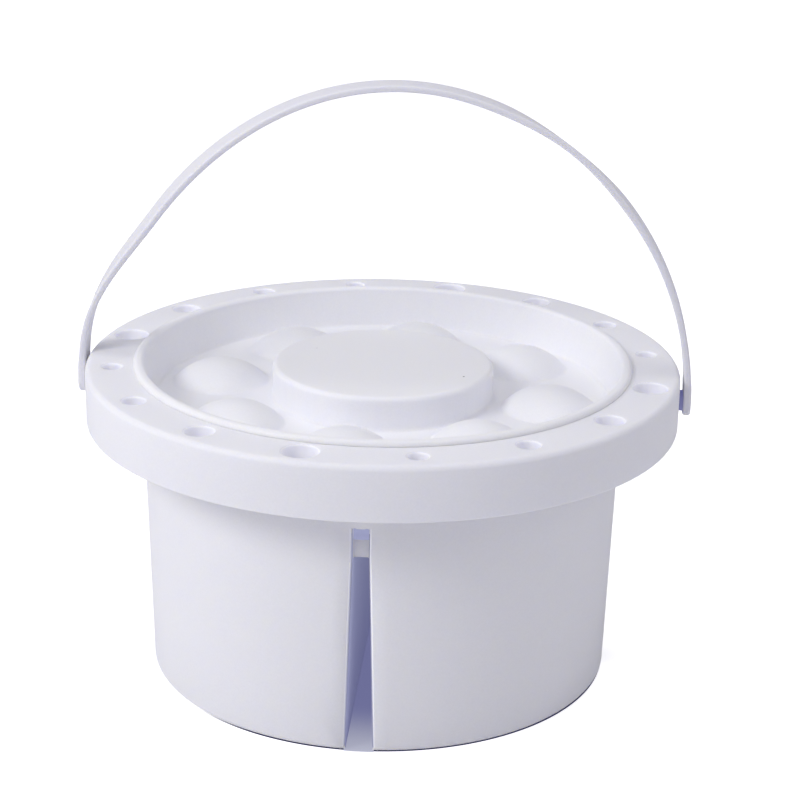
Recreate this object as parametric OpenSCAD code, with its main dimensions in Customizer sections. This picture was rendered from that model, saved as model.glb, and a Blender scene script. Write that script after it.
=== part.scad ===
// Brush washer: a divided water bucket with a wide rim of brush holes,
// a palette lid that drops into its mouth, and a soft strap handle.
// Origin on the ground under the centre. The front slot faces -Y, the handle turns about X.

/* [Bucket] */
// Outer diameter of the body where it meets the rim
body_d = 162; // [130:1:200]
// Height of the rim's top above the ground
bucket_h = 106; // [86:1:130]
// How much narrower the body is at the ground, on the radius
body_taper = 2.3; // [1:0.1:4]
// Thickness of the moulded walls
wall = 2; // [1.6:0.1:2.4]
// Thickness of the floor
floor_t = 2.2; // [1.8:0.1:3]
// Rounding of the body's bottom edge
foot_round = 1.5; // [0.5:0.1:3]
// Rounding inside, where the walls meet the floor
basin_round = 4; // [2:0.5:6]

/* [Rim] */
// Width of the rim, from the mouth to its outer edge
rim_w = 17.6; // [15:0.1:24]
// Height of the skirt that hangs from the rim's outer edge
skirt_h = 18.2; // [15:0.1:24]
// Thickness of the rim's flat top
rim_t = 2.2; // [1.8:0.1:3]
// Rounding of the rim's outer edge
rim_round = 2; // [1:0.1:3]
// Rounding of the skirt's lower edge and of the mouth
edge_round = 0.6; // [0.3:0.1:0.9]

/* [Brush holes] */
// Number of groups of holes round the rim
hole_groups = 4; // [3:1:5]
// Diameters of the holes in one group, in their order round the rim
hole_ds = [6.5, 7.5, 9.4, 11.3];
// Rounding of each hole's upper edge
hole_round = 0.8; // [0.3:0.1:1]
// Wall of the sleeve under each hole
sleeve_wall = 1.6; // [1.2:0.1:1.8]
// Depth of each sleeve, from the rim's top
sleeve_h = 9; // [7:0.5:12]

/* [Partitions] */
// Width inside the hollow partition at the ground
tunnel_base_w = 8.7; // [7:0.1:11]
// Width inside the hollow partition at its top
tunnel_top_w = 5; // [4:0.1:6]
// Thickness of the partition's walls
partition_wall = 1.8; // [1.4:0.1:2.2]
// How far the top of the open slot in the body lies below the skirt
slot_drop = 10.3; // [8:0.1:16]
// Rounding of the upper corners inside the hollow partition
tunnel_round = 0.6; // [0.3:0.1:1.2]
// How far the open slot runs on above the hollow partition behind it
slot_rise = 10.5; // [8:0.1:12]
// Depth of the slot there, from the body's face to the web that closes it
slot_depth = 3.5; // [2.8:0.1:4.2]
// Height of the deeper pocket at the top of the slot
pocket_h = 4.7; // [3.5:0.1:6]
// How much deeper that pocket is than the slot
pocket_depth = 3; // [1:0.1:4]
// Bevel along the slot's edges
slot_bevel = 0.7; // [0.3:0.1:1]
// Rounding of the body's corners where the slot meets the ground
slot_foot_round = 2; // [1:0.5:3]

/* [Scrubbing ribs] */
// Number of ribs on the floor of one small basin
rib_count = 5; // [3:1:7]
// Height of the ribs above the floor
rib_h = 1.6; // [1:0.1:3]
// Width of each rib
rib_w = 2.4; // [1.6:0.1:3]
// Spacing of the ribs
rib_pitch = 7; // [6:0.5:8]

/* [Lid] */
// Depth of the tray, from the rim's top down to its floor
tray_h = 12; // [10:0.5:15]
// Slope of the tray's wall and of the mouth it sits in, from upright
seat_slope = 15; // [12:0.5:18]
// Gap between the tray and the mouth, on the radius
seat_gap = 0.4; // [0.3:0.1:0.6]
// Gap under the lip
lip_gap = 0.3; // [0.3:0.1:0.5]
// Wall of the lid
lid_t = 1.8; // [1.4:0.1:2.2]
// How far the lip reaches out over the rim
lip_reach = 1.5; // [1.2:0.1:2]
// How far the lip stands above the rim
lip_rise = 1.85; // [1.5:0.05:2.4]
// Diameter of the raised drum in the middle
drum_d = 74.6; // [62:0.5:90]
// Height of the drum above the tray's floor
drum_h = 11.4; // [9:0.1:14]
// Rounding of the drum's edge
drum_round = 1.8; // [1:0.1:2.4]
// Number of domes round the drum
dome_count = 8; // [6:1:10]
// Height of the domes
dome_h = 7.3; // [6:0.1:9]
// Gap between a dome and the drum or the tray's wall
dome_gap = 3.6; // [2.8:0.1:5]
// Turn of the lid in the mouth
lid_turn = -7.9; // [-22.5:0.1:22.5]

/* [Handle] */
// Width of the strap
strap_w = 10; // [8:0.1:12]
// Thickness of the strap
strap_t = 2.3; // [1.9:0.1:2.8]
// Rounding of the strap's edges
strap_round = 0.8; // [0.5:0.1:0.9]
// Gap between the end tabs and the skirt
tab_gap = 1.3; // [1:0.1:1.6]
// Thickness of the end tabs
tab_t = 2.6; // [2.1:0.1:3.1]
// Depth of the pivots below the rim's top
pivot_drop = 10; // [8.5:0.5:11]
// Extra height of the arch over a half circle
arch_rise = 1.6; // [0:0.1:4]
// Diameter of the pivot studs
stud_d = 6; // [5:0.5:7]
// Gap round each stud in its hole, on the radius
stud_gap = 0.1; // [0.05:0.05:0.1]
// How far each stud's head stands out past the hole
stud_catch = 0.8; // [0.6:0.1:1.2]
// How far the soft strap is pressed in on its left flank
flank_press = 6.8; // [0:0.1:8]
// Twist of the left flank, in degrees
flank_twist = 14; // [0:0.5:18]
// Twist of the right shoulder, in degrees
shoulder_twist = -10; // [-14:0.5:0]

/* [Hidden] */
$fn = 96;
white = [0.92, 0.92, 0.95];
past = 1;
arc_steps = 8;

// Heights and radii of the bucket
skirt_z = bucket_h - skirt_h;
seat_z = bucket_h - tray_h;
body_base_r = body_d / 2 - body_taper;
function body_r(z) = body_base_r + body_taper * z / skirt_z;
seat_r = body_r(seat_z) - wall;
mouth_r = seat_r + tray_h * tan(seat_slope);
rim_r = mouth_r + rim_w;
rim_under_z = bucket_h - rim_t;
throat_under_r = mouth_r - rim_t * tan(seat_slope) + wall;

// Lip and ring of brush holes
lip_r = mouth_r + lip_reach;
hole_ring_r = (lip_r + rim_r - rim_round) / 2;
hole_count = hole_groups * len(hole_ds);
hole_step = 360 / hole_count;

// Partitions: one across the bucket from front to back, one from the middle to +X
slot_top_z = skirt_z - slot_drop;
tunnel_h = slot_top_z - slot_rise;
web_r = body_r(slot_top_z) - slot_depth;
slot_turns = [-90, 90, 0];
slot_ease = 0.15;
slot_top_half = tunnel_top_w / 2 + slot_ease;
slot_base_half = tunnel_base_w / 2 + slot_ease;
slot_knee_z = tunnel_h - tunnel_round;
bevel_reach = 1;
rib_sink = 0.5;

// Lid
tray_wall_top_r = mouth_r - seat_gap;
tray_wall_base_r = tray_wall_top_r - tray_h * tan(seat_slope);
tray_floor_r = tray_wall_base_r - lid_t;
tray_mouth_r = tray_wall_top_r - lid_t;
lip_top_z = bucket_h + lip_rise;
lip_base_z = bucket_h + lip_gap;
lip_round = (lip_r - tray_mouth_r) / 2.4;
lid_round = 2;
drum_r = drum_d / 2;
dome_base_r = (tray_floor_r - drum_r) / 2 - dome_gap;
dome_ring_r = (tray_floor_r + drum_r) / 2;
dome_r = (dome_base_r * dome_base_r + dome_h * dome_h) / (2 * dome_h);
dome_centre_z = seat_z + dome_h - dome_r;

// Handle
pivot_z = bucket_h - pivot_drop;
tab_in_x = rim_r + tab_gap;
strap_r = tab_in_x + tab_t / 2;
tab_top = 7;
head_gap = 0.3;
head_x = rim_r - wall - head_gap;
head_h = 2.4;
head_taper = 0.5;
flank_press_at = 142.6;
flank_press_span = [66.8, 30];
flank_twist_at = 139.5;
flank_twist_span = [63.3, 63.3];
shoulder_twist_at = 55;
shoulder_twist_span = [16, 16];
twist_fade = [14, 30];
strap_steps = 60;
corner_steps = 2;

// Points of an arc of radius r about c, from angle a to angle b
function arc(c, r, a, b, n = arc_steps) =
    [for (i = [0:n]) c + r * [cos(a + (b - a) * i / n), sin(a + (b - a) * i / n)]];

// A smooth rise to 1 over the angle span[0] before at, and a fall over span[1] after it
function swell(a, at, span) =
    let (u = (a - at) / (a < at ? span[0] : span[1])) pow(cos(90 * max(-1, min(1, u))), 2);

// A smooth step from 0 to 1
function ease(u) = let (v = max(0, min(1, u))) v * v * (3 - 2 * v);

// Half outline of the bucket: body, throat, rim and skirt
function bucket_outline() = concat(
    [[0, 0]],
    arc([body_base_r - foot_round, foot_round], foot_round, -90, 0),
    [[body_r(seat_z), seat_z], [throat_under_r, rim_under_z], [rim_r - wall, rim_under_z]],
    [[rim_r - wall, skirt_z]],
    arc([rim_r - edge_round, skirt_z + edge_round], edge_round, -90, 0),
    arc([rim_r - rim_round, bucket_h - rim_round], rim_round, 0, 90),
    arc([mouth_r + edge_round, bucket_h - edge_round], edge_round, 90, 180 - seat_slope),
    [[seat_r, seat_z]],
    arc([body_r(0) - wall - basin_round, floor_t + basin_round], basin_round, 0, -90),
    [[0, floor_t]]
);

// Upper end of an outline that is w wide at height h, with corners rounded by r
function outline_top(w, h, r) = concat(
    arc([w / 2 - r, h - r], r, 0, 90, 6),
    arc([r - w / 2, h - r], r, 90, 180, 6)
);

// Stretches an upright outline along +X, from x0 to x1
module along_x(x0, x1) {
    translate([x0, 0, 0]) rotate([90, 0, 90]) linear_extrude(x1 - x0) children();
}

// Solid of one hollow partition, from the middle out to the body's wall
module partition_solid() {
    half_w = tunnel_base_w / 2 + partition_wall;
    along_x(-past, body_base_r - wall / 2)
        polygon(concat(
            [[half_w, 0]],
            outline_top(tunnel_top_w + 2 * partition_wall, tunnel_h + partition_wall,
                tunnel_round + partition_wall),
            [[-half_w, 0]]
        ));
}

// Upright box inside the wall that backs the closed top of a slot and its pocket
module slot_backing() {
    half_w = tunnel_top_w / 2 + partition_wall;
    low_z = tunnel_h - tunnel_top_w;
    depth = slot_depth + pocket_depth + partition_wall - wall / 2;
    translate([web_r - pocket_depth - partition_wall, -half_w, low_z])
        cube([depth, 2 * half_w, slot_top_z + partition_wall - low_z]);
}

// Deeper pocket in the web at the top of a slot
module pocket_cut() {
    low_z = slot_top_z - pocket_h;
    translate([web_r - pocket_depth, -tunnel_top_w / 2, low_z])
        cube([pocket_depth + past, tunnel_top_w, pocket_h - slot_ease]);
}

// Hollow of one partition, open at the ground and through the body's wall
module tunnel_cut() {
    translate([0, 0, -past])
        along_x(-past, rim_r)
            polygon(concat(
                [[tunnel_base_w / 2, 0], [tunnel_base_w / 2, past]],
                outline_top(tunnel_top_w, tunnel_h + past, tunnel_round),
                [[-tunnel_base_w / 2, past], [-tunnel_base_w / 2, 0]]
            ));
}

// Slot through the body's wall in front of the hollow, a little wider than it
module slot_cut() {
    foot = arc([slot_base_half + slot_foot_round, slot_foot_round], slot_foot_round, -90, -180, 6);
    half = concat(
        [[slot_base_half + slot_foot_round, -past]],
        foot,
        [[slot_top_half, slot_knee_z], [slot_top_half, slot_top_z]]
    );
    along_x(web_r, rim_r)
        polygon(concat(half, [for (i = [len(half) - 1:-1:0]) [-half[i][0], half[i][1]]]));
}

// Bar that bevels an edge along +Z, where the solid lies towards -X and +Y
module bevel_bar(length) {
    side = slot_bevel * sqrt(2) + 2 * bevel_reach;
    translate([bevel_reach / sqrt(2), -bevel_reach / sqrt(2), 0])
        rotate(45)
            translate([-side / 2, -side / 2, 0]) cube([side, side, length]);
}

// Distance along +X to the body's face at height z and offset y
function face_x(z, y) = sqrt(pow(body_r(z), 2) - y * y);

// Bevels both long edges and the top of a slot where it meets the body's face
module slot_bevel_cut() {
    taper = atan(body_taper / skirt_z);
    lean = atan((slot_base_half - slot_top_half) / slot_knee_z);
    for (s = [0, 1])
        mirror([0, s, 0]) {
            translate([face_x(0, slot_base_half), slot_base_half, 0])
                rotate([lean, taper, 0])
                    translate([0, 0, -past]) bevel_bar(slot_knee_z + past);
            translate([face_x(slot_knee_z, slot_top_half), slot_top_half, slot_knee_z - slot_bevel])
                rotate([0, taper, 0])
                    bevel_bar(slot_top_z - slot_knee_z + 1.5 * slot_bevel);
        }
    translate([face_x(slot_top_z, 0), slot_top_half + slot_bevel / 2, slot_top_z])
        rotate([90, 0, 0]) bevel_bar(2 * slot_top_half + slot_bevel);
}

// Sleeve that steadies a brush under its hole
module sleeve(d) {
    translate([hole_ring_r, 0, bucket_h - sleeve_h])
        cylinder(d = d + 2 * sleeve_wall, h = sleeve_h - rim_t / 2);
}

// Bore of one brush hole, with its rounded upper edge
module brush_hole(d) {
    translate([hole_ring_r, 0, 0]) {
        translate([0, 0, bucket_h - sleeve_h - past])
            cylinder(d = d, h = sleeve_h + 2 * past);
        translate([0, 0, bucket_h])
            rotate_extrude()
                polygon(concat(
                    [[0, -hole_round]],
                    arc([d / 2 + hole_round, -hole_round], hole_round, 180, 90, 5),
                    [[d / 2 + hole_round, past], [0, past]]
                ));
    }
}

// Places children(0..) at every hole of one size, counted from the front slot
module at_holes(k) {
    for (g = [0:hole_groups - 1])
        rotate(-90 + hole_step * (g * len(hole_ds) + k + 0.5)) children();
}

// Low ribs on the floor of the small basin at the front right
module scrubbing_ribs() {
    inner_r = body_base_r - wall - basin_round - rib_w;
    start = tunnel_base_w / 2 + partition_wall + basin_round;
    for (i = [0:rib_count - 1]) {
        y = start + rib_w + i * rib_pitch;
        length = sqrt(inner_r * inner_r - y * y) - start;
        translate([start, -y, floor_t])
            rotate([90, 0, 90])
                linear_extrude(length)
                    polygon([[-rib_w / 2, -rib_sink], [rib_w / 2, -rib_sink], [rib_w / 2, 0],
                        [rib_w / 6, rib_h], [-rib_w / 6, rib_h], [-rib_w / 2, 0]]);
    }
}

module bucket() {
    color(white)
        difference() {
            union() {
                rotate_extrude($fn = 180) polygon(bucket_outline());
                for (a = slot_turns)
                    rotate(a) {
                        partition_solid();
                        slot_backing();
                    }
                for (k = [0:len(hole_ds) - 1])
                    at_holes(k) sleeve(hole_ds[k]);
                scrubbing_ribs();
            }
            for (a = slot_turns)
                rotate(a) {
                    tunnel_cut();
                    slot_cut();
                    pocket_cut();
                    slot_bevel_cut();
                }
            for (k = [0:len(hole_ds) - 1])
                at_holes(k) brush_hole(hole_ds[k]);
            translate([-rim_r - past, 0, pivot_z])
                rotate([0, 90, 0]) cylinder(d = stud_d + 2 * stud_gap, h = wall + 2 * past);
            translate([rim_r - wall - past, 0, pivot_z])
                rotate([0, 90, 0]) cylinder(d = stud_d + 2 * stud_gap, h = wall + 2 * past);
        }
}

// Half outline of the lid without its domes: drum, tray floor, wall and lip
function lid_outline() = concat(
    [[0, seat_z + drum_h]],
    arc([drum_r - drum_round, seat_z + drum_h - drum_round], drum_round, 90, 0),
    arc([drum_r + lid_round / 2, seat_z + lid_round / 2], lid_round / 2, 180, 270),
    arc([tray_floor_r - lid_round / 2, seat_z + lid_round / 2], lid_round / 2, 270, 360 - seat_slope),
    [[tray_mouth_r, bucket_h]],
    arc([tray_mouth_r + lip_round, lip_top_z - lip_round], lip_round, 180, 90),
    arc([lip_r - lip_round, lip_top_z - lip_round], lip_round, 90, 0),
    [[lip_r, lip_base_z], [mouth_r, lip_base_z], [tray_wall_top_r, lip_base_z - lip_gap]],
    arc([tray_wall_base_r - lid_round, seat_z - lid_t + lid_round], lid_round, -seat_slope, -90),
    [[drum_r - lid_t, seat_z - lid_t], [drum_r - lid_t, seat_z + drum_h - lid_t]],
    [[0, seat_z + drum_h - lid_t]]
);

// Part of a ball of radius r above the height z, with its centre on the ring of domes
module cap(r, z) {
    translate([dome_ring_r, 0, 0])
        intersection() {
            translate([0, 0, dome_centre_z]) sphere(r);
            translate([-r, -r, z]) cube([2 * r, 2 * r, 2 * r]);
        }
}

module palette_lid() {
    color(white)
        rotate(lid_turn)
            difference() {
                union() {
                    rotate_extrude($fn = 180) polygon(lid_outline());
                    for (i = [0:dome_count - 1])
                        rotate(i * 360 / dome_count) cap(dome_r, seat_z - lid_t / 2);
                }
                for (i = [0:dome_count - 1])
                    rotate(i * 360 / dome_count) cap(dome_r - lid_t, seat_z - lid_t - past);
            }
}

// Distance of the strap's middle from the pivots' axis, at angle a round the arch
function strap_reach(a) =
    strap_r + arch_rise * pow(sin(a), 2) - flank_press * swell(a, flank_press_at, flank_press_span);

function strap_point(a) = strap_reach(a) * [cos(a), sin(a)];

// Twist of the strap there, none at the tabs
function strap_twist(a) =
    ease(a / twist_fade[0]) * ease((180 - a) / twist_fade[1])
    * (flank_twist * swell(a, flank_twist_at, flank_twist_span)
    + shoulder_twist * swell(a, shoulder_twist_at, shoulder_twist_span));

// Outline of the strap across its length: across the thickness, then along the width
function strap_section() = let (t = strap_t / 2 - strap_round, w = strap_w / 2 - strap_round) concat(
    arc([t, w], strap_round, 0, 90, corner_steps),
    arc([-t, w], strap_round, 90, 180, corner_steps),
    arc([-t, -w], strap_round, 180, 270, corner_steps),
    arc([t, -w], strap_round, 270, 360, corner_steps)
);

// One ring of the strap's surface at angle a
function strap_ring(a) =
    let (
        p = strap_point(a),
        ahead = strap_point(a + 0.5) - strap_point(a - 0.5),
        along = ahead / norm(ahead),
        out = [along[1], -along[0]],
        turn = strap_twist(a)
    )
    [for (q = strap_section())
        let (
            n = q[0] * cos(turn) + q[1] * sin(turn),
            side = q[1] * cos(turn) - q[0] * sin(turn)
        )
        [p[0] + n * out[0], side, p[1] + n * out[1]]];

module strap() {
    n = len(strap_section());
    points = [for (i = [0:strap_steps]) each strap_ring(180 * i / strap_steps)];
    sides = [for (i = [0:strap_steps - 1], j = [0:n - 1])
        let (a = i * n + j, b = i * n + (j + 1) % n)
        each [[a, a + n, b], [b, a + n, b + n]]];
    first = [[for (j = [0:n - 1]) j]];
    last = [[for (j = [0:n - 1]) strap_steps * n + n - 1 - j]];
    polyhedron(points, concat(sides, first, last));
}

// End tab with the stud that snaps through the skirt, at the +X end
module strap_end() {
    translate([tab_in_x, 0, 0]) {
        rotate([0, 90, 0]) cylinder(d = strap_w, h = tab_t);
        translate([0, -strap_w / 2, 0]) cube([tab_t, strap_w, tab_top]);
    }
    translate([head_x - head_h / 2, 0, 0])
        rotate([0, 90, 0]) cylinder(d = stud_d, h = tab_in_x - head_x + head_h / 2 + tab_t / 2);
    translate([head_x - head_h, 0, 0])
        rotate([0, 90, 0]) cylinder(d1 = stud_d - 2 * head_taper, d2 = stud_d + 2 * stud_catch, h = head_h);
}

module carry_handle() {
    color(white)
        translate([0, 0, pivot_z]) {
            strap();
            strap_end();
            mirror([1, 0, 0]) strap_end();
        }
}

bucket();
palette_lid();
carry_handle();
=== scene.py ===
"""The looks of a brush washer: its divided bucket, its palette lid and its strap handle.

The pieces' lengths are millimetres in the object's own frame and become metres when a mesh is made.
The camera's are millimetres too; those of the finishes, the lamps and the floor are metres. Every
surface is worked out as whole arrays. The bucket keeps the shape of its CAD node.
"""

import logging
import math
from dataclasses import dataclass
from enum import Enum
from typing import Sequence

import bmesh
import bpy
import numpy as np
from mathutils import Matrix, Vector


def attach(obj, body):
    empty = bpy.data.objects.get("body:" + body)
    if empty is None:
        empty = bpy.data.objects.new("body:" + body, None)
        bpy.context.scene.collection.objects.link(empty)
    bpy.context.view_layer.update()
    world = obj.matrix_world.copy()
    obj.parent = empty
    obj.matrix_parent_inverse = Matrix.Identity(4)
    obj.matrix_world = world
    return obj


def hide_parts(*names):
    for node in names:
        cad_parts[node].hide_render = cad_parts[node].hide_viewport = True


MM = 0.001
LOG = logging.getLogger("brush_washer")
RGB = tuple[float, float, float]
Pair = tuple[float, float]
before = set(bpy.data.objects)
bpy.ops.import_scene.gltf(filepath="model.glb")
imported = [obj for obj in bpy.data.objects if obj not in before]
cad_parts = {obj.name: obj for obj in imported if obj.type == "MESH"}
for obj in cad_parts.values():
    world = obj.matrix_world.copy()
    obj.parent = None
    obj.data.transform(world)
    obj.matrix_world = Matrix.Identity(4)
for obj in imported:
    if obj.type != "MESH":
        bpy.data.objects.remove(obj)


class Part(Enum):
    """The CAD nodes, each with the body it rides on and the slot of its finish."""

    BUCKET = ("bucket", "bucket", "bucket_plastic")
    LID = ("palette_lid", "lid", "lid_plastic")
    HANDLE = ("carry_handle", "handle", "handle_plastic")

    @property
    def node(self) -> str:
        """Name of the CAD node."""
        return self.value[0]

    @property
    def body(self) -> str:
        """Name of the body it rides on."""
        return self.value[1]

    @property
    def slot(self) -> str:
        """Name of its material slot in the record."""
        return self.value[2]


# Curves and surfaces as arrays

MERGE_DIST = 0.001 * MM
CREASE = 32.0


def arc(centre: Sequence[float], radius: float, start: float, end: float, steps: int) -> np.ndarray:
    """Points of a circular arc.

    Args:
        centre: Its centre.
        radius: Its radius.
        start: Angle of the first point, in degrees.
        end: Angle of the last point, in degrees.
        steps: Number of pieces.

    Returns:
        An array of steps + 1 points: centre + radius * (cos, sin) of evenly spaced angles.
    """
    angle = np.radians(np.linspace(start, end, steps + 1))
    return np.asarray(centre) + radius * np.stack([np.cos(angle), np.sin(angle)], -1)


def line(start: Sequence[float], end: Sequence[float], steps: int) -> np.ndarray:
    """Evenly spaced points between two ends, without the ends.

    Args:
        start: First end.
        end: Last end.
        steps: Number of pieces.

    Returns:
        An array of steps - 1 points: start + t * (end - start).
    """
    t = np.linspace(0, 1, steps + 1)[1:-1, None]
    return np.asarray(start) * (1 - t) + np.asarray(end) * t


def ease(t: np.ndarray) -> np.ndarray:
    """A smooth step from 0 to 1: 3 t squared - 2 t cubed, with t held between 0 and 1."""
    t = np.clip(t, 0, 1)
    return t * t * (3 - 2 * t)


def swell(angle: np.ndarray, middle: float, before: float, after: float) -> np.ndarray:
    """A smooth rise to 1 and fall to 0 about an angle.

    Args:
        angle: Angles, in degrees.
        middle: Where it is 1.
        before: Width of the rise.
        after: Width of the fall.

    Returns:
        Cosine squared of a quarter turn times the distance from the middle over the width.
    """
    u = (angle - middle) / np.where(angle < middle, before, after)
    return np.cos(np.clip(u, -1, 1) * math.pi / 2) ** 2


def soft_max(value: np.ndarray, blend: float) -> np.ndarray:
    """The larger of value and 0 with a soft corner.

    Args:
        value: Values of either sign.
        blend: The result where the value is 0.

    Returns:
        Half of the sum of the value and the root of its square plus four times the blend's square.
    """
    return 0.5 * (value + np.sqrt(value * value + 4 * blend * blend))


def grid_object(name: str, points: np.ndarray) -> bpy.types.Object:
    """Makes a smooth closed mesh of a grid of points.

    The last column joins the first. Points that coincide, as at a pole, are merged, and the faces
    are turned outwards by the sign of the volume they enclose.

    Args:
        name: Name of the object.
        points: An array of rows by columns by 3, in millimetres.

    Returns:
        The new object, at the origin.
    """
    rows, columns = points.shape[:2]
    index = np.arange(rows * columns).reshape(rows, columns)
    index = np.concatenate([index, index[:, :1]], 1)
    quads = np.stack([index[:-1, :-1], index[1:, :-1], index[1:, 1:], index[:-1, 1:]], -1)
    quads = quads.reshape(-1, 4)
    flat = points.reshape(-1, 3) * MM
    a, b, c, d = (flat[quads[:, k]] for k in range(4))
    volume = np.einsum("ij,ij->", a, np.cross(b, c)) + np.einsum("ij,ij->", a, np.cross(c, d))
    if volume < 0:
        quads = quads[:, ::-1]
    mesh = bpy.data.meshes.new(name)
    mesh.from_pydata(flat, [], quads)
    return piece_of(name, mesh)


def in_scene(name: str, data: bpy.types.ID) -> bpy.types.Object:
    """Makes an object of its data and puts it in the scene."""
    obj = bpy.data.objects.new(name, data)
    bpy.context.scene.collection.objects.link(obj)
    return obj


def piece_of(name: str, mesh: bpy.types.Mesh) -> bpy.types.Object:
    """Makes a piece of a mesh, cleaned and shaded smooth.

    Vertices within MERGE_DIST are merged and faces without area dropped. Edges where faces meet at
    more than CREASE degrees stay sharp.

    Args:
        name: Name of the piece.
        mesh: Its mesh, changed in place.

    Returns:
        The piece, at the origin.
    """
    obj = in_scene(name, mesh)
    work = bmesh.new()
    work.from_mesh(mesh)
    bmesh.ops.remove_doubles(work, verts=work.verts, dist=MERGE_DIST)
    bmesh.ops.dissolve_degenerate(work, edges=work.edges, dist=MERGE_DIST / 2)
    work.to_mesh(mesh)
    work.free()
    mesh.shade_smooth()
    mesh.set_sharp_from_angle(angle=math.radians(CREASE))
    return obj


def set_corner_colour(mesh: bpy.types.Mesh, name: str, colours: np.ndarray) -> None:
    """Stores one colour per face corner as a named attribute."""
    rgba = np.concatenate([colours, np.ones((len(colours), 1))], 1).astype(np.float32)
    mesh.attributes.new(name, "FLOAT_COLOR", "CORNER").data.foreach_set("color", rgba.ravel())


@dataclass
class Corners:
    """Places and face directions of all face corners of a mesh, in millimetres."""

    place: np.ndarray
    centre: np.ndarray
    normal: np.ndarray

    @classmethod
    def of(cls, mesh: bpy.types.Mesh) -> "Corners":
        """Reads them from a mesh: each corner's own place, its face's centre and its face's normal."""
        faces, points, corners = len(mesh.polygons), len(mesh.vertices), len(mesh.loops)
        centre, normal, size = np.empty(faces * 3), np.empty(faces * 3), np.empty(faces, int)
        place, index = np.empty(points * 3), np.empty(corners, int)
        mesh.polygons.foreach_get("center", centre)
        mesh.polygons.foreach_get("normal", normal)
        mesh.polygons.foreach_get("loop_total", size)
        mesh.vertices.foreach_get("co", place)
        mesh.loops.foreach_get("vertex_index", index)
        face = np.repeat(np.arange(faces), size)
        place, centre, normal = (values.reshape(-1, 3) for values in (place, centre, normal))
        return cls(place[index] / MM, centre[face] / MM, normal[face])


# The pieces

# Painted shade and painted light, kept at the mesh's corners: the painted shade darkens the colour in
# deep places, and the painted light is added there as emission.
# Each bevel has painted shade at its inner side and a painted highlight at its outer side.
HOLLOW_PAINTED_SHADE = (0.66, 0.65, 0.60)
HOLLOW_PAINTED_LIGHT = (0.128, 0.134, 0.27)
# Painted light that grows towards the top of each hollow.
CEILING_PAINTED_LIGHT = (0.07, 0.075, 0.07)
# Painted bluish light in the pocket at the top of each slot.
POCKET_PAINTED_LIGHT = (0.29, 0.305, 0.48)
# Painted light on the brush holes' walls.
HOLE_PAINTED_LIGHT = (0.125, 0.125, 0.15)
# Painted highlight along the rounded foot of the bucket.
FOOT_PAINTED_HIGHLIGHT = (0.45, 0.45, 0.46)
# Painted bluish light on the studs, in the gap beside the tabs.
STUD_PAINTED_LIGHT = (0.06, 0.062, 0.20)
# Painted light on the web above each hollow.
WEB_PAINTED_LIGHT = (0.05, 0.05, 0.07)
# Painted shade and painted highlight of the slots' bevels: inner, then outer, for each side.
RIGHT_BEVEL_SHADE_AND_HIGHLIGHT = ((0.75, 0.74, 0.60), (0.45, 0.45, 0.46))
LEFT_BEVEL_SHADE_AND_HIGHLIGHT = ((0.35, 0.34, 0.20), (0.20, 0.20, 0.21))


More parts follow.
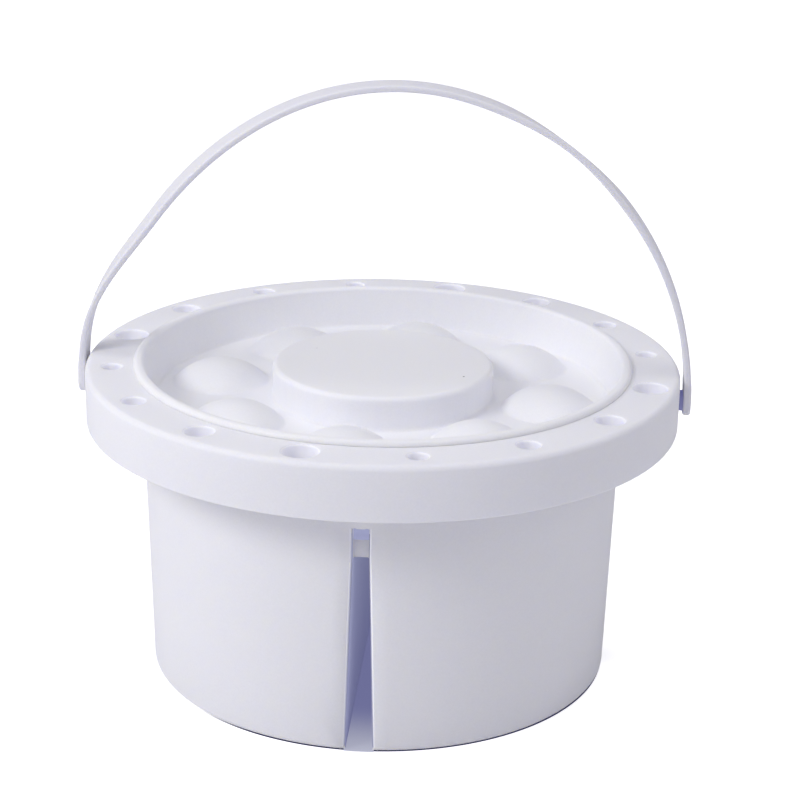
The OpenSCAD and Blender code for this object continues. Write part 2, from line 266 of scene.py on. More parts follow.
@dataclass
class Bucket:
    """The divided bucket with its rim of brush holes.

    Its shape is the CAD node's; the sizes here say where on it the painted shade and painted light go.
    """

    slot_turns: tuple[float, ...] = (-90.0, 90.0, 0.0)
    tunnel_base_w: float = 8.7
    tunnel_top_w: float = 5.0
    tunnel_h: float = 67.0
    tunnel_round: float = 0.6
    tunnel_end: float = -5.0
    slot_ease: float = 0.15
    slot_bevel: float = 0.7
    slot_top_z: float = 77.5
    bevel_facing: Pair = (0.3, 0.95)
    web_r: float = 77.23
    pocket_h: float = 4.7
    pocket_depth: float = 3.0
    ceiling_glow_z: float = 48.0
    slack: float = 0.1
    side_slack: float = 0.06
    hole_ds: tuple[float, ...] = (6.5, 7.5, 9.4, 11.3)
    hole_count: int = 16
    hole_ring_r: float = 90.93
    hole_slack: float = 0.25
    flat_facing: float = 0.9
    sleeve_z: float = 97.0
    foot_r: float = 77.2
    foot_lit: float = 0.9

    def build(self) -> bpy.types.Object:
        """Makes the bucket of a merged copy of its CAD node.

        Returns:
            The bucket, with painted shade and painted light kept at its corners.
        """
        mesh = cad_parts[Part.BUCKET.node].data.copy()
        mesh.materials.clear()
        obj = piece_of("bucket_moulding", mesh)
        at = Corners.of(mesh)
        painted_shade, painted_light = np.zeros_like(at.place), np.zeros_like(at.place)
        for turn in self.slot_turns:
            self.light_slot(at, math.radians(turn), painted_shade, painted_light)
        # Painted light on the brush holes' walls.
        painted_light[self.in_hole(at)] = HOLE_PAINTED_LIGHT
        # A painted highlight along the rounded foot, strongest at the bottom.
        foot = ((np.hypot(at.centre[:, 0], at.centre[:, 1]) > self.foot_r)
                & (at.centre[:, 2] < self.foot_lit) & (painted_shade.max(1) == 0))
        low = np.clip(1 - at.place[:, 2] / self.foot_lit, 0, 1)[:, None]
        painted_light[foot] = (low * np.array(FOOT_PAINTED_HIGHLIGHT))[foot]
        set_corner_colour(mesh, "painted_shade", painted_shade)
        set_corner_colour(mesh, "painted_light", painted_light)
        return obj

    def light_slot(self, at: Corners, turn: float, painted_shade: np.ndarray, painted_light: np.ndarray) -> None:
        """Paints shade and light into one hollow partition and onto the bevels along its slot.

        A face is inside when its centre is no further across than the slot's half width at that
        height; there it gets painted shade, and painted light that grows towards the top. It is on
        the bevel when it lies just outside that and faces askew; there painted shade at the inner
        edge gives way to a painted highlight outwards.

        Args:
            at: The mesh's corners.
            turn: Direction of the slot, in radians.
            painted_shade: Painted shade at each corner, changed in place.
            painted_light: Painted light at each corner, changed in place.
        """
        c, s = math.cos(turn), math.sin(turn)
        along = at.centre[:, 0] * c + at.centre[:, 1] * s
        across = np.abs(at.centre[:, 1] * c - at.centre[:, 0] * s)
        facing = np.abs(at.normal[:, 1] * c - at.normal[:, 0] * s)
        z = at.centre[:, 2]

        def half_width(height: np.ndarray) -> np.ndarray:
            """Half the slot's width at a height: it falls off evenly up to the knee."""
            knee = np.clip(height / (self.tunnel_h - self.tunnel_round), 0, 1)
            return (self.tunnel_base_w * (1 - knee) + self.tunnel_top_w * knee) / 2 + self.slot_ease

        half, slack, top_z = half_width(z), self.slack, self.slot_top_z
        bevel = ((along > self.web_r) & (across > half) & (across < half + self.slot_bevel)
                 & (facing > self.bevel_facing[0]) & (facing < self.bevel_facing[1]) & (z < top_z))
        within = (across < half + self.side_slack) & ~bevel
        tunnel = within & (along > self.tunnel_end) & (z < self.tunnel_h + slack)
        cheek = within & (along > self.web_r + slack) & (z < top_z + slack)
        pocket = (within & (along > self.web_r - self.pocket_depth - slack) & (along < self.web_r - slack)
                  & (z > top_z - self.pocket_h - slack) & (z < top_z))
        glow_h = self.tunnel_h - self.ceiling_glow_z
        top = np.clip((at.place[:, 2] - self.ceiling_glow_z) / glow_h, 0, 1)[:, None] ** 2
        inside = tunnel | cheek
        # Painted shade and painted bluish light inside the hollow, the light growing towards the top;
        # painted shade and painted light in the pocket.
        painted_shade[inside | pocket] = HOLLOW_PAINTED_SHADE
        painted_light[inside] = (np.array(HOLLOW_PAINTED_LIGHT) + top * np.array(CEILING_PAINTED_LIGHT))[inside]
        painted_light[pocket] = POCKET_PAINTED_LIGHT
        # Painted light on the web.
        web = within & (np.abs(along - self.web_r) < slack) & (z > self.tunnel_h) & (z < top_z)
        painted_light[web] = WEB_PAINTED_LIGHT
        # The bevels: painted shade at the inner side, a painted highlight at the outer side.
        sideways = at.place[:, 1] * c - at.place[:, 0] * s
        out = np.clip((np.abs(sideways) - half_width(at.place[:, 2])) / self.slot_bevel, 0, 1)[:, None]
        for side, (inner_shade, outer_highlight) in ((sideways > 0, RIGHT_BEVEL_SHADE_AND_HIGHLIGHT), (sideways < 0, LEFT_BEVEL_SHADE_AND_HIGHLIGHT)):
            edge = bevel & side
            painted_shade[edge] = ((1 - out) * np.array(inner_shade))[edge]
            painted_light[edge] = (out * np.array(outer_highlight))[edge]

    def in_hole(self, at: Corners) -> np.ndarray:
        """Which corners are on a brush hole's wall: upright, and about its radius from a hole's axis."""
        step = 2 * math.pi / self.hole_count
        angle = -math.pi / 2 + step * (np.arange(self.hole_count) + 0.5)
        radius = np.resize(self.hole_ds, self.hole_count) / 2
        dx = at.centre[:, :1] - self.hole_ring_r * np.cos(angle)
        dy = at.centre[:, 1:2] - self.hole_ring_r * np.sin(angle)
        near = (np.hypot(dx, dy) < radius + self.hole_slack).any(1)
        upright = np.abs(at.normal[:, 2]) < self.flat_facing
        return near & upright & (at.centre[:, 2] > self.sleeve_z + self.slack)


@dataclass
class Lid:
    """The palette lid: lip, sloped wall, tray floor with domes and a raised drum."""

    rim_z: float = 106.0
    floor_z: float = 94.0
    wall: float = 1.8
    lip_r: float = 83.88
    lip_gap: float = 0.02
    lip_corner: float = 0.08
    lip_fullness: float = 2.4
    lip_rise: float = 1.85
    mouth_r: float = 82.38
    seat_gap: float = 0.4
    slope: float = 15.0
    drum_r: float = 37.3
    drum_h: float = 11.4
    drum_round: float = 1.8
    foot_round: float = 1.2
    under_round: float = 2.0
    well_foot_round: float = 0.5
    well_top_round: float = 0.8
    domes: int = 8
    dome_h: float = 7.3
    dome_gap: float = 3.6
    dome_blend: float = 0.1
    dome_reach: float = 0.98
    dome_fade_h: float = 3.0
    sunk: float = -4.0
    slack: float = 0.1
    turn: float = -7.9
    around: int = 440

    @property
    def wall_top_r(self) -> float:
        """Outer radius of the tray's wall at the rim."""
        return self.mouth_r - self.seat_gap

    @property
    def wall_base_r(self) -> float:
        """Outer radius of the tray's wall at the floor."""
        return self.wall_top_r - (self.rim_z - self.floor_z) * math.tan(math.radians(self.slope))

    @property
    def floor_r(self) -> float:
        """Inner radius of the tray's floor."""
        return self.wall_base_r - self.wall

    def upper_side(self) -> np.ndarray:
        """Half outline of the upper side, from the middle of the drum out to under the lip."""
        z, top = self.floor_z, self.floor_z + self.drum_h
        lip_top = self.rim_z + self.lip_rise
        inner = self.wall_top_r - self.wall
        lip_round = (self.lip_r - inner) / self.lip_fullness
        corner = self.lip_corner
        corner_at = (self.lip_r - corner, self.rim_z + self.lip_gap + corner)
        edge, foot = self.drum_round, self.foot_round
        drum_edge = arc((self.drum_r - edge, top - edge), edge, 90, 0, 8)
        drum_foot = arc((self.drum_r + foot, z + foot), foot, 180, 270, 6)
        wall_foot = arc((self.floor_r - foot, z + foot), foot, 270, 360 - self.slope, 6)
        lip_in = arc((inner + lip_round, lip_top - lip_round), lip_round, 180, 90, 8)
        lip_out = arc((self.lip_r - lip_round, lip_top - lip_round), lip_round, 90, 0, 8)
        return np.concatenate([
            line((0, top), drum_edge[0], 14), drum_edge,
            line(drum_edge[-1], drum_foot[0], 8), drum_foot,
            line(drum_foot[-1], wall_foot[0], 56), wall_foot,
            line(wall_foot[-1], lip_in[0], 8), lip_in, lip_out,
            arc(corner_at, corner, 0, -90, 3),
        ])

    def lower_side(self) -> np.ndarray:
        """Half outline of the lower side, from under the lip back to the middle."""
        z, top = self.floor_z - self.wall, self.floor_z + self.drum_h - self.wall
        lip_z = self.rim_z + self.lip_gap
        edge, well_foot, well_top = self.under_round, self.well_foot_round, self.well_top_round
        corner = arc((self.wall_base_r - edge, z + edge), edge, -self.slope, -90, 6)
        inside = self.drum_r - self.wall
        return np.concatenate([
            [[self.mouth_r, lip_z], [self.wall_top_r, lip_z - self.lip_gap]],
            line((self.wall_top_r, self.rim_z), corner[0], 6), corner,
            line(corner[-1], (inside + well_foot, z), 48),
            arc((inside + well_foot, z + well_foot), well_foot, 270, 180, 3),
            line((inside, z + well_foot), (inside, top - well_top), 6),
            arc((inside - well_top, top - well_top), well_top, 0, 90, 3),
            line((inside - well_top, top), (0, top), 10),
        ])

    def dome_lift(self, x: np.ndarray, y: np.ndarray, inset: float) -> np.ndarray:
        """Height that the domes add over the floor.

        Each dome is a cap of a ball, and the domes stand in a ring. The height over the floor is
        the ball's height at that distance from the nearest dome's middle, softly joined to the
        floor. Near the ball's edge and beyond, the ball counts as sunk below the floor.

        Args:
            x: Places across the lid.
            y: Places across the lid, the other way.
            inset: How much smaller the ball is, for the hollow underneath.

        Returns:
            The height at each place.
        """
        base = (self.floor_r - self.drum_r) / 2 - self.dome_gap
        ball = (base * base + self.dome_h * self.dome_h) / (2 * self.dome_h)
        ring = (self.floor_r + self.drum_r) / 2
        angle = np.radians(self.turn + 360 / self.domes * np.arange(self.domes))
        dx = x[..., None] - ring * np.cos(angle)
        dy = y[..., None] - ring * np.sin(angle)
        square = (dx * dx + dy * dy).min(-1)
        radius = ball - inset
        height = np.sqrt(np.maximum(radius * radius - square, 0)) - radius + self.dome_h
        height = np.where(np.sqrt(square) > radius * self.dome_reach, self.sunk, height)
        lift = soft_max(height, self.dome_blend) - soft_max(np.array(self.sunk), self.dome_blend)
        return np.maximum(lift, 0)

    def build(self) -> bpy.types.Object:
        """Makes the lid as one closed shell.

        Its half outline is carried round the middle, and points near the floor are lifted by the
        domes: the upper side by the whole domes, the lower side by their hollows.

        Returns:
            The lid.
        """
        upper, lower = self.upper_side(), self.lower_side()
        outline = np.concatenate([[[0, self.floor_z + self.drum_h]], upper, lower,
                                  [[0, self.floor_z + self.drum_h - self.wall]]])
        is_upper = np.arange(len(outline)) <= len(upper)
        angle = np.linspace(0, 2 * math.pi, self.around, endpoint=False)
        r, z = outline[:, :1], outline[:, 1:]
        x, y = r * np.cos(angle), r * np.sin(angle)
        floor = np.where(is_upper, self.floor_z, self.floor_z - self.wall)[:, None]
        outside_drum = r > self.drum_r - self.wall - self.slack
        near_floor = ease(1 - (z - floor) / self.dome_fade_h) * outside_drum
        lift = np.where(is_upper[:, None], self.dome_lift(x, y, 0), self.dome_lift(x, y, self.wall))
        return grid_object("palette_lid_moulding", np.stack([x, y, z + near_floor * lift], -1))


@dataclass
class Handle:
    """The soft strap with its round end tabs and moulded studs."""

    pivot_z: float = 96.0
    strap_r: float = 102.58
    rise: float = 1.6
    width: float = 10.0
    thick: float = 2.3
    tab_thick: float = 2.6
    edge_round: float = 0.8
    press: float = 6.8
    press_at: tuple[float, float, float] = (142.6, 66.8, 30.0)
    flank_twist: float = 14.0
    flank_at: tuple[float, float, float] = (139.5, 63.3, 63.3)
    shoulder_twist: float = -10.0
    shoulder_at: tuple[float, float, float] = (55.0, 16.0, 16.0)
    fade: Pair = (14.0, 30.0)
    tab_fade: Pair = (5.5, 3.5)
    section: int = 23
    stud_r: float = 3.0
    stud_around: int = 48
    stud_catch: float = 0.8
    tip_inset: float = 0.9
    tip_round: float = 0.4
    catch_round: float = 0.3
    head_x: float = 97.68
    head_h: float = 2.4
    collar_r: float = 3.5
    collar_x: float = 100.1

    def middle(self, angle: np.ndarray) -> np.ndarray:
        """Middle line of the arch, from the pivots' height: a circle, raised, pressed in on its left."""
        reach = self.strap_r + self.rise * np.sin(np.radians(angle)) ** 2
        reach = reach - self.press * swell(angle, *self.press_at)
        return reach[:, None] * np.stack([np.cos(np.radians(angle)), np.sin(np.radians(angle))], -1)

    def twist(self, angle: np.ndarray) -> np.ndarray:
        """Twist of the strap in degrees, fading to none at the tabs."""
        fade = ease(angle / self.fade[0]) * ease((180 - angle) / self.fade[1])
        return fade * (self.flank_twist * swell(angle, *self.flank_at)
                       + self.shoulder_twist * swell(angle, *self.shoulder_at))

    def route(self, tip_steps: int = 14, arch_steps: int = 260) -> tuple[np.ndarray, ...]:
        """Stations along the strap, from the bottom of one tab to the bottom of the other.

        Args:
            tip_steps: Stations in each tab's rounded end.
            arch_steps: Stations along the arch.

        Returns:
            The middle line from the pivots' height, the distance below the pivot, half the
            thickness, and the twist.
        """
        half = self.width / 2
        drop = half * np.cos(np.linspace(0, math.pi / 2, tip_steps, endpoint=False))
        angle = np.linspace(0, 180, arch_steps + 1)
        arch = self.middle(angle)
        right = np.stack([np.full(tip_steps, self.strap_r), -drop], -1)
        left = (right * [-1, 1])[::-1]
        path = np.concatenate([right, arch, left])
        below = np.concatenate([drop, np.zeros(arch_steps + 1), drop[::-1]])
        turn = np.concatenate([np.zeros(tip_steps), self.twist(angle), np.zeros(tip_steps)])
        tab = 1 - ease((path[:, 1] - self.tab_fade[0]) / self.tab_fade[1])
        thick = self.thick + (self.tab_thick - self.thick) * tab
        return path, below, thick / 2, turn

    def strap(self) -> bpy.types.Object:
        """Makes the strap: a flat section carried along the arch.

        The section's thickness falls off as a quarter circle within the edge rounding, measured
        from the strap's middle line, or from the pivot in the round end of a tab.

        Returns:
            The strap with its tabs.
        """
        path, below, half_t, turn = self.route()
        half = self.width / 2
        along = np.gradient(path, axis=0)
        tab_rows = below > 0
        along[tab_rows] = np.where(path[tab_rows, :1] > 0, [[0.0, 1.0]], [[0.0, -1.0]])
        along /= np.linalg.norm(along, axis=1)[:, None]
        out = np.stack([along[:, 1], -along[:, 0]], -1)
        across = np.sin(np.radians(np.linspace(90, -90, self.section)))
        reach = np.sqrt(np.maximum(half * half - below * below, 0))
        side = reach[:, None] * np.concatenate([across, across[::-1]])
        far = np.minimum(np.hypot(side, below[:, None]), half)
        rim = np.maximum(far - (half - self.edge_round), 0)
        drop = self.edge_round - np.sqrt(np.maximum(self.edge_round ** 2 - rim ** 2, 0))
        sign = np.repeat([1.0, -1.0], len(across))
        depth = sign * (half_t[:, None] - drop)
        c, s = np.cos(np.radians(turn))[:, None], np.sin(np.radians(turn))[:, None]
        normal = depth * c + side * s
        y = side * c - depth * s
        x = path[:, :1] + normal * out[:, :1]
        z = path[:, 1:] + normal * out[:, 1:] + self.pivot_z
        return grid_object("strap_moulding", np.stack([x, y, z], -1))

    def stud(self, name: str, way: float) -> bpy.types.Object:
        """Makes one stud, turned about X: a cone that snaps behind the skirt, a shaft and a collar; all
        of it carries painted shade and painted bluish light.

        Args:
            name: Name of the stud.
            way: 1 on the right, -1 on the left.

        Returns:
            The stud.
        """
        catch, start = self.stud_r + self.stud_catch, self.head_x - self.head_h
        tip, lip = self.tip_round, self.catch_round
        outline = np.concatenate([
            [[start, 0]], arc((start + tip, self.stud_r - self.tip_inset), tip, 180, 110, 3),
            arc((self.head_x - lip, catch - lip), lip, 60, 0, 3),
            [[self.head_x, self.stud_r], [self.collar_x, self.stud_r], [self.collar_x, self.collar_r],
             [self.strap_r, self.collar_r], [self.strap_r, 0]],
        ])
        angle = np.linspace(0, 2 * math.pi, self.stud_around, endpoint=False)
        r = outline[:, 1:]
        x = np.broadcast_to(way * outline[:, :1], (len(outline), len(angle)))
        points = np.stack([x, r * np.cos(angle), self.pivot_z + r * np.sin(angle)], -1)
        obj = grid_object(name, points)
        # Painted shade and painted bluish light on the whole stud, for the gap between tab and skirt.
        for attribute, colour in (("painted_shade", HOLLOW_PAINTED_SHADE), ("painted_light", STUD_PAINTED_LIGHT)):
            set_corner_colour(obj.data, attribute, np.tile(colour, (len(obj.data.loops), 1)))
        return obj

    def build(self) -> list[bpy.types.Object]:
        """Makes the strap and its two studs."""
        return [self.strap(), self.stud("stud_right", 1.0), self.stud("stud_left", -1.0)]


# Node trees


class Wiring:
    """Adds the nodes of one shader tree or node group, and links them."""

    def __init__(self, tree: bpy.types.NodeTree) -> None:
        """Works on the given tree."""
        self.tree = tree

    def feed(self, socket: bpy.types.NodeSocket, value: object) -> None:
        """Links an input to a socket, or sets it to a number, a vector or a colour without alpha."""
        if isinstance(value, bpy.types.NodeSocket):
            self.tree.links.new(value, socket)
        else:
            socket.default_value = (*value, 1) if socket.type == "RGBA" else value

    def feed_all(self, node: bpy.types.Node, inputs: dict) -> None:
        """Feeds a node's inputs, by name or number."""
        for key, value in inputs.items():
            self.feed(node.inputs[key], value)

    def node(self, kind: str, inputs: dict, **settings: object) -> bpy.types.Node:
        """Adds one node.

        Args:
            kind: What follows "ShaderNode" in its type.
            inputs: What each input is fed, by name or number.
            settings: The node's own settings.

        Returns:
            The node.
        """
        node = self.tree.nodes.new("ShaderNode" + kind)
        for name, value in settings.items():
            setattr(node, name, value)
        self.feed_all(node, inputs)
        return node

    def noise(self, source: bpy.types.NodeSocket, scale: float, detail: float) -> bpy.types.NodeSocket:
        """One noise texture's value over the surface."""
        return self.node("TexNoise", {"Vector": source, "Scale": scale, "Detail": detail}).outputs["Fac"]

    def maths(self, operation: str, *values: object, clamp: bool = False) -> bpy.types.NodeSocket:
        """One maths node; the values are sockets or numbers."""
        inputs = dict(enumerate(values))
        return self.node("Math", inputs, operation=operation, use_clamp=clamp).outputs[0]

    def vector(self, operation: str, a: object, b: object,
               output: str = "Vector") -> bpy.types.NodeSocket:
        """One vector maths node; where it scales, b is the scale."""
        inputs = {0: a, "Scale" if operation == "SCALE" else 1: b}
        return self.node("VectorMath", inputs, operation=operation).outputs[output]

    def mix(self, factor: object, a: object, b: object) -> bpy.types.NodeSocket:
        """Blends two colours."""
        inputs = {"Factor": factor, "A": a, "B": b}
        return self.node("Mix", inputs, data_type="RGBA").outputs["Result"]

    def rise(self, source: bpy.types.NodeSocket, start: float, end: float,
             shape: str = "LINEAR") -> bpy.types.NodeSocket:
        """Rises from 0 where the source is start to 1 where it is end."""
        inputs = {"Value": source, "From Min": start, "From Max": end}
        return self.node("MapRange", inputs, interpolation_type=shape).outputs["Result"]

    def corner_colour(self, name: str) -> bpy.types.NodeSocket:
        """A colour kept at the mesh's corners, black where the mesh has none."""
        return self.node("Attribute", {}, attribute_name=name).outputs["Color"]

    def place(self) -> bpy.types.NodeSocket:
        """The place on the object."""
        return self.node("TexCoord", {}).outputs["Object"]

    def camera_rays(self) -> bpy.types.NodeSocket:
        """1 for rays from the camera, 0 for others."""
        return self.node("LightPath", {}).outputs["Is Camera Ray"]


# Finishes


class MouldedSurface:
    """Shader node group of a moulded plastic surface: mottle, fine grain, flow lines and scuffs, with
    painted shade and painted light read from the mesh's corners.
    """

    NAME = "moulded_surface"
    INPUTS = (("Colour", "Color"), ("Shade", "Color"), ("Mottle", "Float"), ("Streaks", "Float"),
              ("Roughness", "Float"), ("Scuffs", "Float"), ("Flow", "Vector"), ("Mark A", "Vector"),
              ("Mark B", "Vector"))
    OUTPUTS = (("Colour", "Color"), ("Roughness", "Float"), ("Height", "Float"), ("Painted Light", "Color"))

    # Scale and detail of each noise
    BROAD, FLOW, STREAK = (22.0, 3.0), (60.0, 2.0), (420.0, 1.0)
    GRAIN, PEEL, SCRATCH = (1500.0, 2.0), (260.0, 1.0), (420.0, 4.0)
    STREAK_STRETCH = (1.0, 1.0, 0.03)
    STREAK_FROM, SCRATCH_FROM = 0.42, 0.62
    BROAD_SHARE, GRAIN_SHARE = 0.6, 0.25
    SPECKLE = 0.07
    ROUGH_SPREAD = 0.12
    SCRATCH_DEPTH = 0.15

    # Radius, strength and colour of each mark
    MARK_A = (0.00042, 1.0, (0.05, 0.03, 0.06))
    MARK_B = (0.0004, 0.35, (0.2, 0.2, 0.3))

    @classmethod
    def group(cls) -> bpy.types.NodeTree:
        """Builds the group once.

        Returns:
            The group. It puts out a colour, a roughness, a height and the painted light read from the
            mesh's corners.
        """
        if cls.NAME in bpy.data.node_groups:
            return bpy.data.node_groups[cls.NAME]
        group = bpy.data.node_groups.new(cls.NAME, "ShaderNodeTree")
        for way, sockets in (("INPUT", cls.INPUTS), ("OUTPUT", cls.OUTPUTS)):
            for name, kind in sockets:
                group.interface.new_socket(name, in_out=way, socket_type="NodeSocket" + kind)
        cls.wire(group)
        return group

    @classmethod
    def wire(cls, group: bpy.types.NodeTree) -> None:
        """Adds and links the group's nodes."""
        nodes = Wiring(group)
        given = group.nodes.new("NodeGroupInput").outputs
        out = group.nodes.new("NodeGroupOutput").inputs
        place = nodes.place()
        stretched = nodes.vector("MULTIPLY", place, given["Flow"])
        streak = nodes.noise(nodes.vector("MULTIPLY", place, cls.STREAK_STRETCH), *cls.STREAK)
        grain = nodes.noise(place, *cls.GRAIN)
        scratch = nodes.noise(stretched, *cls.SCRATCH)

        broad = nodes.maths("MULTIPLY", nodes.noise(place, *cls.BROAD), cls.BROAD_SHARE)
        flow = nodes.maths("MULTIPLY", nodes.noise(stretched, *cls.FLOW), 1 - cls.BROAD_SHARE)
        cloud = nodes.maths("ADD", broad, flow)
        mottle = nodes.maths("MULTIPLY", nodes.maths("SUBTRACT", 1.0, cloud), given["Mottle"])
        streaks = nodes.maths("SUBTRACT", streak, cls.STREAK_FROM)
        streaks = nodes.maths("MULTIPLY", streaks, cls.upright(nodes))
        streaks = nodes.maths("MULTIPLY", streaks, given["Streaks"], clamp=True)
        shade = nodes.maths("ADD", mottle, streaks, clamp=True)
        colour = nodes.mix(shade, given["Colour"], given["Shade"])
        speckle = nodes.maths("ADD", 1.0 - cls.SPECKLE / 2, nodes.maths("MULTIPLY", grain, cls.SPECKLE))
        # The painted shade at the mesh's corners darkens the colour.
        kept = nodes.vector("SUBTRACT", (1.0, 1.0, 1.0), nodes.corner_colour("painted_shade"))
        colour = nodes.vector("MULTIPLY", nodes.vector("SCALE", colour, speckle), kept)
        for name, (radius, strength, dark) in (("Mark A", cls.MARK_A), ("Mark B", cls.MARK_B)):
            mark = cls.mark(nodes, place, given[name], radius, strength)
            colour = nodes.mix(mark, colour, dark)
        nodes.feed(out["Colour"], colour)
        # The painted light at the mesh's corners, put out for the emission.
        nodes.feed(out["Painted Light"], nodes.corner_colour("painted_light"))

        worn = nodes.maths("GREATER_THAN", scratch, cls.SCRATCH_FROM)
        worn = nodes.maths("MULTIPLY", worn, given["Scuffs"])
        cloudy = nodes.maths("MULTIPLY", nodes.maths("SUBTRACT", cloud, 0.5), cls.ROUGH_SPREAD)
        rough = nodes.maths("ADD", given["Roughness"], cloudy)
        worn_rough = nodes.maths("MULTIPLY", worn, cls.ROUGH_SPREAD)
        nodes.feed(out["Roughness"], nodes.maths("ADD", rough, worn_rough, clamp=True))
        peel = nodes.maths("MULTIPLY", nodes.noise(place, *cls.PEEL), 1 - cls.GRAIN_SHARE)
        fine = nodes.maths("ADD", nodes.maths("MULTIPLY", grain, cls.GRAIN_SHARE), peel)
        scratches = nodes.maths("MULTIPLY", worn, cls.SCRATCH_DEPTH)
        nodes.feed(out["Height"], nodes.maths("SUBTRACT", fine, scratches))

    @staticmethod
    def upright(nodes: Wiring) -> bpy.types.NodeSocket:
        """1 on upright faces, falling to 0 on level ones."""
        facing = nodes.node("NewGeometry", {}).outputs["True Normal"]
        height = nodes.node("SeparateXYZ", {0: facing}).outputs["Z"]
        return nodes.maths("SUBTRACT", 1.0, nodes.maths("ABSOLUTE", height))

    @staticmethod
    def mark(nodes: Wiring, place: bpy.types.NodeSocket, centre: bpy.types.NodeSocket, radius: float,
             strength: float) -> bpy.types.NodeSocket:
        """The strength of a small round mark: full up to half the radius, none beyond it."""
        far = nodes.vector("DISTANCE", place, centre, "Value")
        near = nodes.maths("MULTIPLY", nodes.maths("SUBTRACT", radius, far), 2 / radius, clamp=True)
        return nodes.maths("MULTIPLY", near, strength)


FAR_AWAY = (9.0, 9.0, 9.0)


@dataclass(frozen=True)
class Plastic:
    """One finish of white moulded plastic."""

    name: str
    colour: RGB = (0.90, 0.90, 0.945)
    shade: RGB = (0.86, 0.86, 0.915)
    mottle: float = 0.35
    streaks: float = 0.0
    roughness: float = 0.45
    shine: float = 0.3
    scuffs: float = 0.25
    flow: tuple[float, float, float] = (1.0, 1.0, 0.25)
    bump: float = 0.06
    bump_depth: float = 0.00006
    ior: float = 1.49
    depth: float = 0.7
    depth_scale: float = 0.0009
    depth_colours: RGB = (0.9, 0.95, 1.2)
    marks: tuple = (FAR_AWAY, FAR_AWAY)

    def material(self) -> bpy.types.Material:
        """Builds the material.

        Returns:
            A material whose colour, roughness, fine relief and painted light come from the moulded
            surface.
        """
        material = bpy.data.materials.new(self.name)
        material.use_nodes = True
        nodes = Wiring(material.node_tree)
        surface = nodes.tree.nodes.new("ShaderNodeGroup")
        surface.node_tree = MouldedSurface.group()
        nodes.feed_all(surface, {
            "Colour": self.colour, "Shade": self.shade, "Mottle": self.mottle,
            "Streaks": self.streaks, "Roughness": self.roughness, "Scuffs": self.scuffs,
            "Flow": self.flow, "Mark A": self.marks[0], "Mark B": self.marks[1],
        })
        made = surface.outputs
        relief = {"Strength": self.bump, "Distance": self.bump_depth, "Height": made["Height"]}
        nodes.feed_all(nodes.tree.nodes["Principled BSDF"], {
            "IOR": self.ior, "Specular IOR Level": self.shine, "Subsurface Weight": self.depth,
            "Subsurface Radius": self.depth_colours, "Subsurface Scale": self.depth_scale,
            "Base Color": made["Colour"], "Roughness": made["Roughness"],
            "Emission Color": made["Painted Light"], "Emission Strength": nodes.camera_rays(),
            "Normal": nodes.node("Bump", relief).outputs["Normal"],
        })
        return material


BUCKET_FINISH = Plastic("bucket_white", flow=(1.0, 1.0, 0.2))
# The lid's white is a little lighter than the bucket's: painted light for the light bounced round inside
# the tray.
LID_FINISH = Plastic("lid_white", colour=(0.935, 0.938, 0.992), shade=(0.895, 0.90, 0.97),
                     roughness=0.42, flow=(1.0, 1.0, 0.15), streaks=1.2,
                     marks=((0.02783, -0.01224, 0.1054), (-0.02383, 0.01206, 0.1054)))
# The strap's white is darker than the bucket's: painted shade on the strap.
HANDLE_FINISH = Plastic("handle_white", colour=(0.80, 0.797, 0.83), flow=(0.2, 1.0, 0.2), bump=0.02)


# Studio


@dataclass(frozen=True)
class Camera:
    """The photograph's view: angles in degrees, lengths in millimetres."""

    azimuth: float = 3.87
    pitch: float = 19.396
    roll: float = 1.056
    distance: float = 735.9
    aim: tuple[float, float, float] = (5.92, 0.40, 91.79)
    focal: float = 97.31
    sensor: float = 36.0

    def place(self) -> None:
        """Makes the scene's camera.

        It looks at the aim from the distance, turned by the roll about its own axis.
        """
        az, el, roll = (math.radians(v) for v in (self.azimuth, self.pitch, self.roll))
        forward = Vector((-math.sin(az) * math.cos(el), math.cos(az) * math.cos(el), -math.sin(el)))
        right = forward.cross(Vector((0, 0, 1))).normalized()
        up = right.cross(forward)
        x = right * math.cos(roll) + up * math.sin(roll)
        y = up * math.cos(roll) - right * math.sin(roll)
        turn = Matrix((x, y, -forward)).transposed().to_4x4()
        data = bpy.data.cameras.new("camera")
        data.lens, data.sensor_width, data.sensor_fit = self.focal, self.sensor, "HORIZONTAL"
        obj = in_scene("camera", data)
        obj.matrix_world = Matrix.Translation((Vector(self.aim) - forward * self.distance) * MM) @ turn
        bpy.context.scene.camera = obj


@dataclass(frozen=True)
class SoftBox:
    """One square white area light."""

    name: str
    place: tuple[float, float, float]
    size: float
    power: float
    aim: tuple[float, float, float] = (0.0, 0.0, 0.09)

    def add(self) -> None:
        """Makes the light, facing its aim."""
        data = bpy.data.lights.new(self.name, "AREA")
        data.shape, data.size, data.energy = "SQUARE", self.size, self.power
        obj = in_scene(self.name, data)
        obj.location = self.place
        obj.rotation_mode = "QUATERNION"
        obj.rotation_quaternion = (Vector(self.aim) - Vector(self.place)).to_track_quat("-Z", "Y")


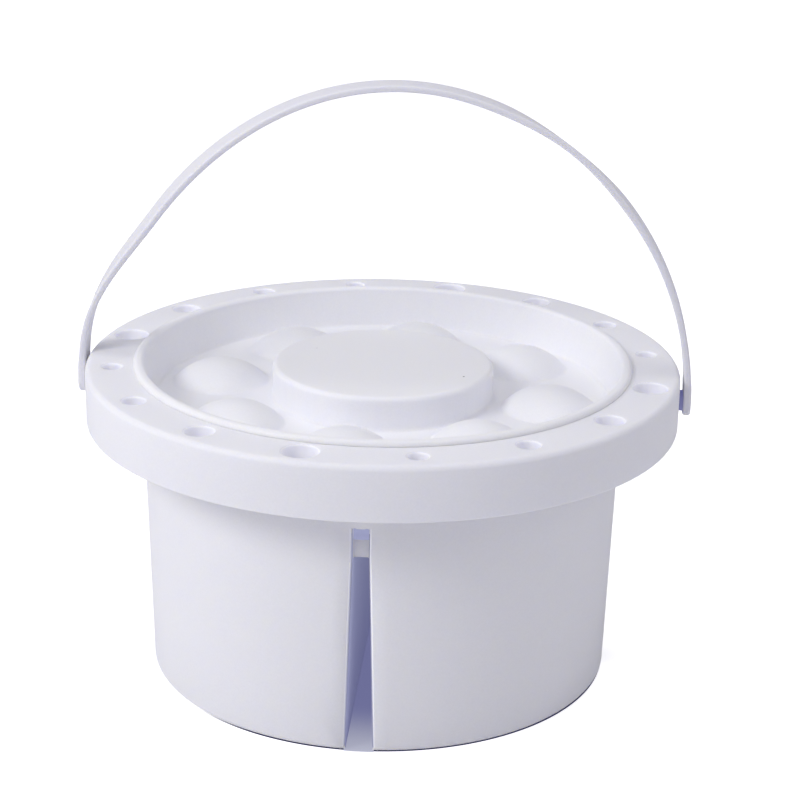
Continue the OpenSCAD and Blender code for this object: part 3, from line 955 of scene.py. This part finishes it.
@dataclass
class Studio:
    """White floor with painted shade and light at the bucket's foot, white surroundings and soft lamps.
    """

    floor_r: float = 4.0
    floor_points: int = 64
    floor_roughness: float = 0.9
    ambient: float = 0.415
    ambient_colour: RGB = (0.965, 0.955, 1.055)
    floor_colour: RGB = (0.86, 0.86, 0.88)
    floor_glow: float = 0.68
    foot_r: float = 0.0772
    wall_r: float = 0.0787
    slot_half: float = 0.0047
    slot_blur: float = 0.0002
    # Painted shade under the bucket, painted light there, and the painted shadow line along the front of
    # the foot.
    under_shade_colour: RGB = (0.20, 0.20, 0.22)
    deep_painted_light: RGB = (0.150, 0.156, 0.315)
    deep_r: float = 0.045
    mouth_painted_light: RGB = (0.36, 0.37, 0.47)
    contact: RGB = (0.02, 0.02, 0.06)
    contact_start: Pair = (0.0001, 0.0004)
    contact_end: Pair = (0.0012, 0.0014)
    contact_side: tuple[float, float, float] = (0.4, -1.0, 0.0)
    contact_fade: Pair = (0.35, 0.75)
    lamps: tuple[SoftBox, ...] = (
        SoftBox("key_front_left", (-0.95, -0.79, 0.98), 0.5, 7.8),
        SoftBox("side_left", (-1.45, 0.0, 0.48), 0.8, 2.1),
        SoftBox("side_right", (1.41, 0.0, 0.6), 0.8, 1.6),
        SoftBox("overhead", (0.0, -0.05, 1.59), 0.8, 5.0),
    )

    def world(self) -> None:
        """Lights the object with an even pale world that the camera itself sees as white."""
        world = bpy.data.worlds.new("surroundings")
        bpy.context.scene.world = world
        world.use_nodes = True
        nodes = Wiring(world.node_tree)
        nodes.tree.nodes.clear()
        even = nodes.node("Background", {"Color": self.ambient_colour, "Strength": self.ambient})
        white = nodes.node("Background", {"Color": (1.0, 1.0, 1.0)})
        inputs = {"Fac": nodes.camera_rays(), 1: even.outputs[0], 2: white.outputs[0]}
        nodes.node("OutputWorld", {"Surface": nodes.node("MixShader", inputs).outputs[0]})

    def floor(self) -> None:
        """Makes the round floor: matte, with an emission for camera rays that lifts it to white, and
        painted shade and light at the bucket's foot.
        """
        angle = np.linspace(0, 2 * math.pi, self.floor_points, endpoint=False)
        ring = np.stack([np.cos(angle), np.sin(angle), 0 * angle], -1) * self.floor_r
        mesh = bpy.data.meshes.new("floor")
        mesh.from_pydata(ring, [], [list(range(len(ring)))])
        material = bpy.data.materials.new("floor_white")
        material.use_nodes = True
        self.paint_floor(Wiring(material.node_tree))
        mesh.materials.append(material)
        in_scene("floor", mesh)

    def paint_floor(self, nodes: Wiring) -> None:
        """Paints shade and light into the floor by its distance from the middle.

        Under the bucket it has painted shade, with painted light from a deep blue grey to a pale
        one at the foot of the wall. Outside it is white. A thin painted shadow line runs along the
        front of the foot. In line with the front and back slots the painted shade reaches further
        out, and there is no line.

        Args:
            nodes: The wiring of the floor's node tree.
        """
        place = nodes.place()
        distance = nodes.node("VectorMath", {0: place}, operation="LENGTH").outputs["Value"]
        sideways = nodes.maths("ABSOLUTE", nodes.node("SeparateXYZ", {0: place}).outputs["X"])
        in_slot = nodes.rise(sideways, self.slot_half + self.slot_blur, self.slot_half)
        far = nodes.maths("MULTIPLY_ADD", in_slot, self.foot_r - self.wall_r, distance)
        outside = nodes.rise(far, *(self.foot_r + edge for edge in self.contact_start))
        line_end = nodes.rise(far, *(self.foot_r + edge for edge in self.contact_end))
        towards = nodes.vector("DOT_PRODUCT", place, self.contact_side, "Value")
        fade = (self.foot_r * share for share in self.contact_fade)
        front = nodes.rise(towards, *fade, "SMOOTHSTEP")
        # Painted light under the bucket: deep blue grey within, pale at the foot of the wall.
        mouth = nodes.rise(far, self.deep_r, self.foot_r, "SMOOTHSTEP")
        under = nodes.mix(mouth, self.deep_painted_light, self.mouth_painted_light)

        def painted(dark: object, light: RGB) -> bpy.types.NodeSocket:
            """Painted shade under the bucket, the painted shadow line at its foot, and light beyond."""
            edge = nodes.mix(in_slot, nodes.mix(front, light, self.contact), light)
            return nodes.mix(outside, dark, nodes.mix(line_end, edge, light))

        # The base colour holds the painted shade and the painted shadow line; the emission holds the
        # painted light under the bucket and the white beyond.
        nodes.feed_all(nodes.tree.nodes["Principled BSDF"], {
            "Base Color": painted(self.under_shade_colour, self.floor_colour),
            "Emission Color": painted(under, (self.floor_glow,) * 3),
            "Emission Strength": nodes.camera_rays(),
            "Roughness": self.floor_roughness,
            "Specular IOR Level": 0.0,
        })

    def build(self) -> None:
        """Sets up the world, the floor and the lamps."""
        self.world()
        self.floor()
        for lamp in self.lamps:
            lamp.add()
        bpy.context.scene.view_settings.view_transform = "Standard"


def dress(obj: bpy.types.Object, part: Part, finish: bpy.types.Material, replaces: bool) -> None:
    """Gives a piece its finish and ties it to its CAD body.

    Args:
        obj: The piece.
        part: The part it belongs to.
        finish: Its material.
        replaces: Whether it stands for the part's CAD node.
    """
    obj.data.materials.append(finish)
    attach(obj, part.body)
    if replaces:
        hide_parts(part.node)
    LOG.info("%s: %d faces on %s", obj.name, len(obj.data.polygons), part.body)


def main() -> None:
    logging.basicConfig(level=logging.INFO, format="%(name)s: %(message)s")
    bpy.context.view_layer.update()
    Camera().place()
    Studio().build()
    dress(Bucket().build(), Part.BUCKET, BUCKET_FINISH.material(), True)
    dress(Lid().build(), Part.LID, LID_FINISH.material(), True)
    handle_finish = HANDLE_FINISH.material()
    for k, piece in enumerate(Handle().build()):
        dress(piece, Part.HANDLE, handle_finish, k == 0)


if __name__ == "__main__":
    main()
